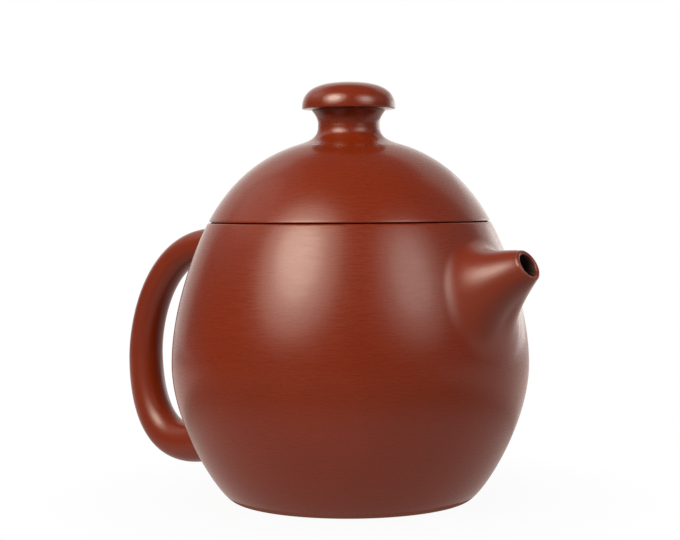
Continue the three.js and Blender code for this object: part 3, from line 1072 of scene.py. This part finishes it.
# The bore: rough unburnished clay, with its colour darkened as painted shade
bore_clay_painted_shade = clay("bore_clay_painted_shade", (BORE_PAINTED_SHADE, BORE_PAINTED_SHADE_DARK), (0.7, 0.8), lengthwise, gritty)
scraped = clay("scraped_clay", (SCRAPED, SCRAPED_DARK), (0.62, 0.72), turned, gritty)


# Pieces: each one rides on a body and stands for a node of the CAD

facing_in = 0.2
facing_down = 0.7


def dress(piece, material, body, replaced):
    piece.data.materials.clear()
    piece.data.materials.append(material)
    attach(piece, body)
    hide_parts(replaced)


def scrape_inside(piece):
    """The faces turned inwards and downwards aren't burnished."""
    piece.data.materials.append(scraped)
    for face in piece.data.polygons:
        inwards = -face.normal.to_2d().dot(face.center.to_2d().normalized())
        if inwards > facing_in or face.normal.z < -facing_down:
            face.material_index = 1


pot_body = lathe("pot_body", body_profile())
cut_strainer_hole(pot_body)
dress(pot_body, burnished_turned, "pot", "body_wall")
scrape_inside(pot_body)
dress(lathe("pot_floor", base_profile()), scraped, "pot", "base_disc")
dress(lathe("mouth_seat", mouth_ring_profile()), burnished_turned, "pot", "mouth_ring")
dress(make_strainer(), scraped, "pot", "strainer")

spout_piece, outside_faces = make_spout()
dress(spout_piece, burnished_spout, "pot", "spout")
# The bore's faces take the rough clay whose colour carries painted shade
spout_piece.data.materials.append(bore_clay_painted_shade)
for face in spout_piece.data.polygons[outside_faces:]:
    face.material_index = 1
dress(make_handle(), burnished_hand, "pot", "handle")

lid_shell = lathe("lid_shell", lid_profile())
dress(lid_shell, burnished_turned, "lid", "lid_dome")
scrape_inside(lid_shell)
dress(lathe("lid_ring", flange_profile()), scraped, "lid", "lid_flange")
dress(lathe("knob_foot", neck_profile()), burnished_turned, "lid", "knob_neck")
dress(lathe("knob_top", cap_profile()), burnished_cap, "lid", "knob_cap")


# Camera: heading is the turn of the view from the direction across the pot

heading = math.radians(38.518)
camera_distance = 390
camera_side = -2.338
camera_height = 71.385
camera_dip = 0.042356
camera_roll = -0.00658
focal_length = 85.73
sensor_width = 36
nearest_seen = 10

view_right = Vector((math.cos(heading), math.sin(heading), 0))
view_level = Vector((-math.sin(heading), math.cos(heading), 0))
upwards = Vector((0, 0, 1))


def make_camera():
    data = bpy.data.cameras.new("camera")
    data.lens = focal_length
    data.sensor_width = sensor_width
    data.clip_start = nearest_seen * MM
    camera = bpy.data.objects.new("camera", data)
    bpy.context.scene.collection.objects.link(camera)
    forward = view_level * math.cos(camera_dip) - upwards * math.sin(camera_dip)
    above = view_level * math.sin(camera_dip) + upwards * math.cos(camera_dip)
    right = view_right * math.cos(camera_roll) + above * math.sin(camera_roll)
    above = above * math.cos(camera_roll) - view_right * math.sin(camera_roll)
    turn = Matrix((right, above, -forward)).transposed().to_4x4()
    place = view_right * camera_side - view_level * camera_distance + upwards * camera_height
    camera.matrix_world = Matrix.Translation(place * MM) @ turn
    bpy.context.scene.camera = camera


# Light: soft boxes placed by the direction that the pot sees them in, measured from the camera

pot_middle = Vector((0, 0, 50)) * MM

# Azimuth, elevation, width and height in degrees, radiance and colour
soft_boxes = {
    "left_box": (-41.5, 38, 52, 51, 10.8, (1, 0.85, 0.70)),
    "right_box": (45.5, 31, 45, 44, 4.3, (1, 0.90, 0.80)),
    "left_wall": (-110, 42, 62, 48, 0.65, (1, 0.90, 0.82)),
    "right_wall": (92, 30, 50, 40, 0.15, (1, 0.93, 0.88)),
    "right_back": (138, 4, 60, 40, 1.15, (1, 0.93, 0.91)),
}

# A box is a wide lamp and a smaller one before it, at distances in metres
wide_distance = 0.92
core_distance = 0.86
wide_share = 0.28
core_share = 0.56


def seen_from_pot(azimuth, elevation):
    a, e = math.radians(azimuth), math.radians(elevation)
    level = view_right * math.sin(a) - view_level * math.cos(a)
    return level * math.cos(e) + upwards * math.sin(e)


def lamp(name, azimuth, elevation, distance, width, height, radiance, colour):
    """A round lamp, sized by the angles that it fills."""
    data = bpy.data.lights.new(name, "AREA")
    data.shape = "ELLIPSE"
    data.size = 2 * distance * math.tan(math.radians(width / 2))
    data.size_y = 2 * distance * math.tan(math.radians(height / 2))
    area = math.pi / 4 * data.size * data.size_y
    data.energy = radiance * math.pi * area
    data.color = colour
    piece = bpy.data.objects.new(name, data)
    bpy.context.scene.collection.objects.link(piece)
    direction = seen_from_pot(azimuth, elevation)
    piece.location = pot_middle + direction * distance
    piece.rotation_mode = "QUATERNION"
    piece.rotation_quaternion = direction.to_track_quat("Z", "Y")
    piece.visible_camera = False


def soft_box(name, azimuth, elevation, width, height, radiance, colour):
    """A soft light that is brighter in its middle."""
    place = (azimuth, elevation)
    core = (width * core_share, height * core_share)
    wide_light = radiance * wide_share
    lamp(name + "_wide", *place, wide_distance, width, height, wide_light, colour)
    lamp(name + "_core", *place, core_distance, *core, radiance - wide_light, colour)


# Stage, in metres: a floor and a curved backdrop behind the pot, at azimuths in degrees
floor_size = 3.0
backdrop_radius = 1.1
backdrop_height = 1.3
backdrop_from = 125
backdrop_to = 230
floor_tone = (0.24, 0.24, 0.24)

# What the camera sees: white, with the shadow kept from near_floor out to far_floor
near_floor = 0.02
far_floor = 0.09
near_white = 0.95

# What lights the pot: under it, at its side, behind it and far behind it
under_tone = (1, 0.79, 0.72)
glow_tone = (1, 0.95, 0.89)
near_glow = 0.49
glow_start = 0.06
glow_end = 0.12
lit_side = 135
side_from = 0.03
side_to = 0.13
side_glow = 0.6
rear_from = 0.03
rear_to = 0.08
rear_start = 0.2
rear_end = 0.7
rear_glow = 0.7
behind_from = 0.42
behind_to = 1.15
back_glow = 1.0
top_glow = 0.12
fade_from = 0.25
room_light = 0.12


def mixed(tree, factor, first, second):
    """Two shaders, by a share."""
    mix = node(tree, "ShaderNodeMixShader")
    for socket, value in zip(mix.inputs, (factor, first.outputs[0], second.outputs[0])):
        feed(tree, socket, value)
    return mix.outputs[0]


def distance_out(tree, place):
    """How far a place is from the middle of the pot's foot."""
    made = node(tree, "ShaderNodeVectorMath", operation="LENGTH")
    feed(tree, made.inputs[0], place)
    return made.outputs["Value"]


def distance_towards(tree, place, direction):
    made = node(tree, "ShaderNodeVectorMath", operation="DOT_PRODUCT")
    feed(tree, made.inputs[0], place)
    feed(tree, made.inputs[1], direction)
    return made.outputs["Value"]


def glow_near(tree, place, reach, away):
    """The floor's glow under the pot, at its lit side and close behind it."""
    under = maths(tree, "MULTIPLY", ramp(tree, reach, glow_end, glow_start), near_glow)
    beside = distance_towards(tree, place, seen_from_pot(lit_side, 0))
    side = maths(tree, "MULTIPLY", ramp(tree, beside, side_from, side_to), side_glow)
    strip = maths(
        tree, "MULTIPLY", ramp(tree, away, rear_from, rear_to), ramp(tree, reach, rear_end, rear_start)
    )
    rear = maths(tree, "MULTIPLY", strip, rear_glow)
    return maths(tree, "MAXIMUM", under, maths(tree, "MAXIMUM", side, rear))


def glow_behind(tree, place, rising):
    """The glow of the far floor and the backdrop, which fades towards the top."""
    height = node(tree, "ShaderNodeSeparateXYZ")
    feed(tree, height.inputs[0], place)
    climb = ramp(tree, height.outputs["Z"], fade_from, backdrop_height)
    return maths(tree, "MULTIPLY", rising, spread(tree, climb, (0, 1), (back_glow, top_glow)))


def white_paint(name):
    """A pale matt surface, lit from inside under the pot and behind it. The camera sees it as white,
    with the shadow kept near the pot."""
    material = bpy.data.materials.new(name)
    material.use_nodes = True
    tree = material.node_tree
    tree.nodes.clear()
    place = node(tree, "ShaderNodeNewGeometry").outputs["Position"]
    to_camera = node(tree, "ShaderNodeLightPath").outputs["Is Camera Ray"]
    reach = distance_out(tree, place)
    away = distance_towards(tree, place, view_level)
    rising = spread(tree, away, (behind_from, behind_to))
    lit = maths(tree, "MAXIMUM", glow_near(tree, place, reach, away), glow_behind(tree, place, rising))
    shown = spread(tree, ramp(tree, reach, near_floor, far_floor), (0, 1), (near_white, 1))
    share = node(tree, "ShaderNodeMix", data_type="FLOAT")
    feed(tree, share.inputs["Factor"], to_camera)
    feed(tree, share.inputs["A"], lit)
    feed(tree, share.inputs["B"], shown)
    warmth = blend_colour(tree, rising, under_tone, glow_tone)
    matt = node(tree, "ShaderNodeBsdfDiffuse", Color=(*floor_tone, 1))
    glow = node(tree, "ShaderNodeEmission", Strength=1.0)
    feed(tree, glow.inputs["Color"], blend_colour(tree, to_camera, warmth, (1, 1, 1)))
    mix = mixed(tree, share.outputs[0], matt, glow)
    feed(tree, node(tree, "ShaderNodeOutputMaterial").inputs[0], mix)
    return material


def floor_mesh():
    half = floor_size
    corners = [(-half, -half, 0), (half, -half, 0), (half, half, 0), (-half, half, 0)]
    mesh = bpy.data.meshes.new("floor")
    mesh.from_pydata(corners, [], [(0, 1, 2, 3)])
    return mesh


def backdrop_mesh():
    points = []
    for column in range(BACKDROP_COLUMNS + 1):
        turn = backdrop_from + (backdrop_to - backdrop_from) * column / BACKDROP_COLUMNS
        foot = seen_from_pot(turn, 0) * backdrop_radius
        points += [(foot.x, foot.y, 0), (foot.x, foot.y, backdrop_height)]
    mesh = bpy.data.meshes.new("backdrop")
    mesh.from_pydata(points, [], [(2 * c, 2 * c + 2, 2 * c + 3, 2 * c + 1) for c in range(BACKDROP_COLUMNS)])
    return mesh


def make_stage():
    paint = white_paint("white_paint")
    for mesh in (floor_mesh(), backdrop_mesh()):
        mesh.materials.append(paint)
        piece = bpy.data.objects.new(mesh.name, mesh)
        bpy.context.scene.collection.objects.link(piece)


def make_world():
    """A dim room that the camera sees as white."""
    world = bpy.data.worlds.new("room")
    bpy.context.scene.world = world
    world.use_nodes = True
    tree = world.node_tree
    tree.nodes.clear()
    room = node(tree, "ShaderNodeBackground", Color=(1, 1, 1, 1), Strength=room_light)
    white = node(tree, "ShaderNodeBackground", Color=(1, 1, 1, 1), Strength=1.0)
    to_camera = node(tree, "ShaderNodeLightPath").outputs["Is Camera Ray"]
    feed(tree, node(tree, "ShaderNodeOutputWorld").inputs[0], mixed(tree, to_camera, room, white))


make_camera()
make_stage()
make_world()
for box, settings in soft_boxes.items():
    soft_box(box, *settings)

bpy.context.scene.view_settings.view_transform = "Standard"
